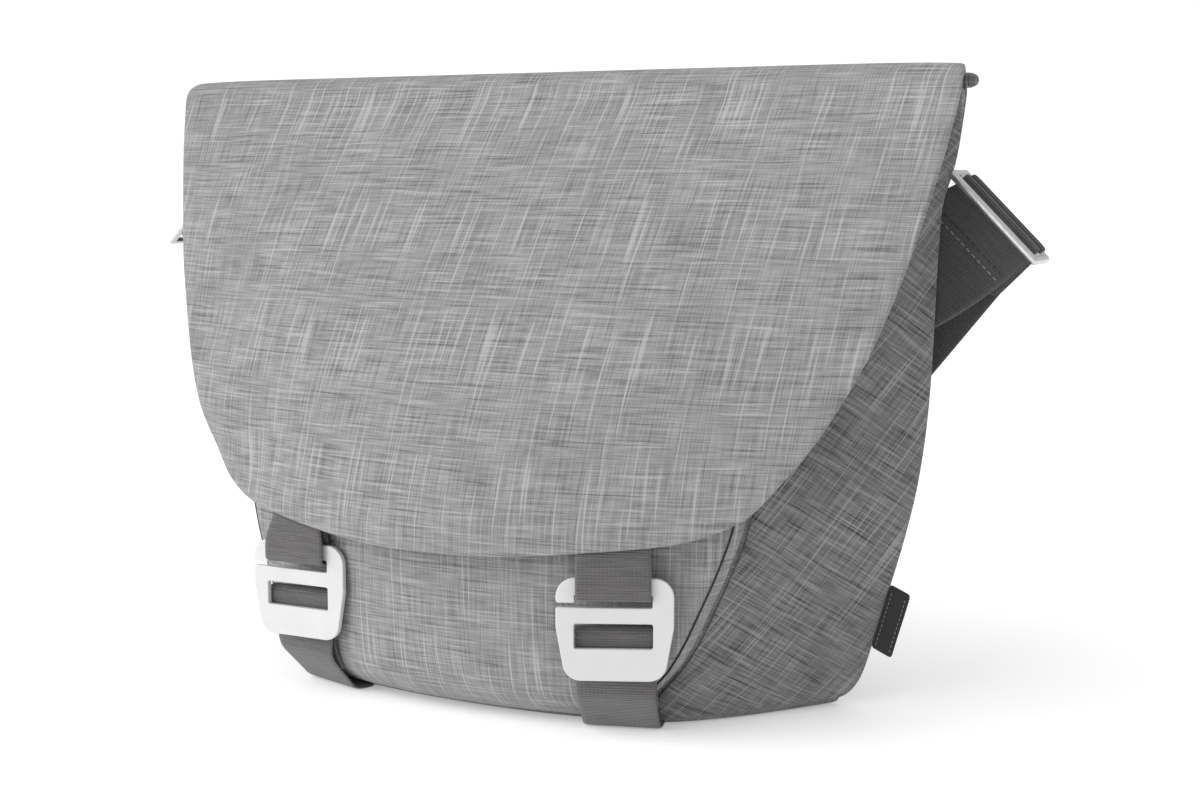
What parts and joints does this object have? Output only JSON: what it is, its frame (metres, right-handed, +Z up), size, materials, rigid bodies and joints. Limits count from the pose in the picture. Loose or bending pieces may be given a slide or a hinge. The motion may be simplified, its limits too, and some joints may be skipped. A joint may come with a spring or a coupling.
{
  "type": "messenger bag",
  "caption": "Cloth messenger bag with a wide rounded flap, flat hooks on webbing straps, a bellows pocket and an adjustable shoulder strap.",
  "frame": {"origin": "on the floor under the base panel, on the middle plane between the two sides", "axes": "+X along the width to the bag's left as worn, -Y out of the front, +Z up"},
  "size_m": [0.5156, 0.2395, 0.3135],
  "materials": {
    "outer_cloth": "matte slub weave",
    "webbing": "ribbed webbing",
    "binding": "matte tape",
    "lining_cloth": "smooth lining",
    "foam": "closed-cell foam",
    "board": "stiffener",
    "hook_white": "satin white coat",
    "frame_metal": "brushed"
  },
  "bodies": {
    "bag": {"back_panel": "outer_cloth", "back_padding": "foam", "base_panel": "outer_cloth", "base_board": "board", "front_panel": "outer_cloth", "left_gusset": "outer_cloth", "right_gusset": "outer_cloth", "mouth_binding": "binding", "lining": "lining_cloth", "pocket_front": "outer_cloth", "pocket_left_side": "outer_cloth", "pocket_right_side": "outer_cloth", "pocket_piping": "binding", "pocket_hem": "binding", "laptop_sleeve": "lining_cloth", "organiser_pocket": "lining_cloth", "left_strap": "webbing", "right_strap": "webbing", "left_strap_tail": "webbing", "right_strap_tail": "webbing", "left_anchor": "webbing", "right_anchor": "webbing", "side_label": "binding", "top_seam": "binding", "shoulder_strap": "webbing"},
    "flap": {"flap_outer": "outer_cloth", "flap_lining": "lining_cloth", "flap_binding": "outer_cloth", "left_loop": "webbing", "right_loop": "webbing"},
    "left_g_hook": {"left_hook": "hook_white"},
    "right_g_hook": {"right_hook": "hook_white"},
    "left_frame": {"left_slider": "frame_metal", "left_strap_end": "webbing"},
    "right_frame": {"right_slider": "frame_metal", "right_strap_end": "webbing"},
    "adjuster": {"strap_adjuster": "frame_metal"}
  },
  "joints": [
    {"name": "flap_hinge", "type": "hinge", "parent": "bag", "child": "flap", "pos_m": [0, 0.051, 0.291], "axis": [-1, 0, 0], "range_deg": [0, 160]},
    {"name": "left_hook_tilt", "type": "hinge", "parent": "bag", "child": "left_g_hook", "pos_m": [-0.09184, -0.05356, 0.052], "axis": [0.9563, -0.2924, 0], "range_deg": [0, 3]},
    {"name": "right_hook_tilt", "type": "hinge", "parent": "bag", "child": "right_g_hook", "pos_m": [0.09184, -0.05356, 0.052], "axis": [0.9563, 0.2924, 0], "range_deg": [0, 3]},
    {"name": "left_frame_swing", "type": "hinge", "parent": "bag", "child": "left_frame", "pos_m": [-0.236, 0.057, 0.243], "axis": [0.7071, 0, 0.7071], "range_deg": [-3, 12]},
    {"name": "right_frame_swing", "type": "hinge", "parent": "bag", "child": "right_frame", "pos_m": [0.236, 0.057, 0.243], "axis": [0.7071, 0, -0.7071], "range_deg": [-3, 12]},
    {"name": "adjuster_slide", "type": "slide", "parent": "bag", "child": "adjuster", "axis": [-1, 0, 0], "range_m": [0, 0.075]}
  ]
}
